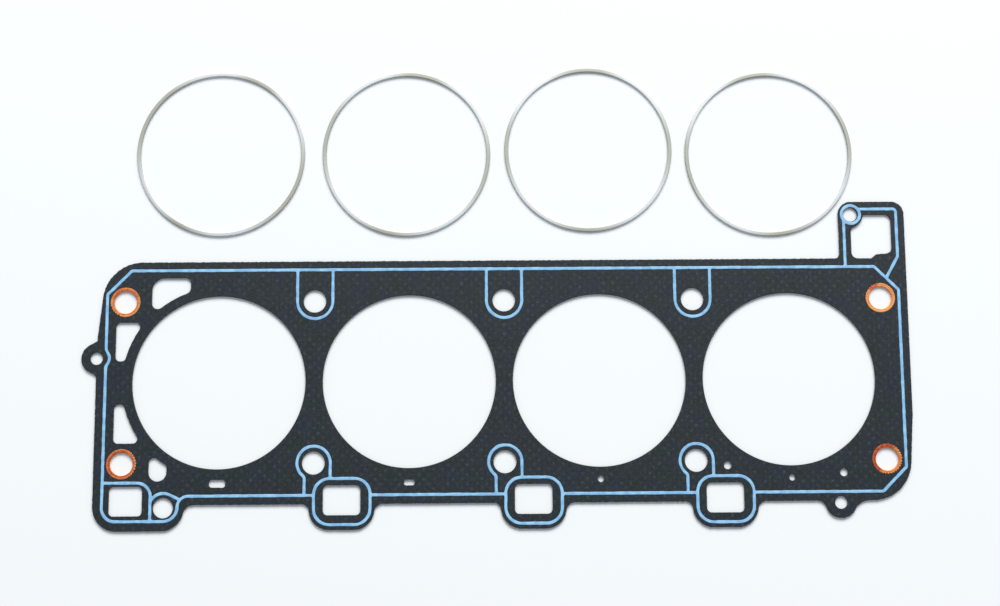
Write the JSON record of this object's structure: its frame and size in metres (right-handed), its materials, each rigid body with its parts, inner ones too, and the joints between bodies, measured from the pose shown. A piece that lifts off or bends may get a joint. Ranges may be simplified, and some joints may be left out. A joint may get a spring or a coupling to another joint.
{
  "type": "cylinder head gasket",
  "caption": "Flat cylinder head gasket of dark composite with bores, ports and stud holes, printed sealing beads and copper eyelets, beside its loose combustion rings.",
  "frame": {"origin": "centre of the bore row, on the plane that the gasket and the loose rings rest on", "axes": "+X along the row of bores, +Y to the rear edge with the tab, +Z from the block to the head"},
  "size_m": [0.533, 0.3005, 0.0018],
  "materials": {
    "facing_composite": "dark charcoal fibre composite facing, matte, with faint rows of weave specks",
    "sealing_bead": "light blue printed elastomer, satin, slightly lumpy along its length",
    "copper": "bright copper, crimped",
    "ring_steel": "satin stainless steel"
  },
  "bodies": {
    "root": {"gasket_body": "facing_composite", "upper_sealing_bead": "sealing_bead", "lower_sealing_bead": "sealing_bead", "copper_eyelet_front_left": "copper", "copper_eyelet_front_right": "copper", "copper_eyelet_rear_left": "copper", "copper_eyelet_rear_right": "copper", "combustion_ring_1": "ring_steel", "combustion_ring_2": "ring_steel", "combustion_ring_3": "ring_steel", "combustion_ring_4": "ring_steel"}
  },
  "joints": []
}
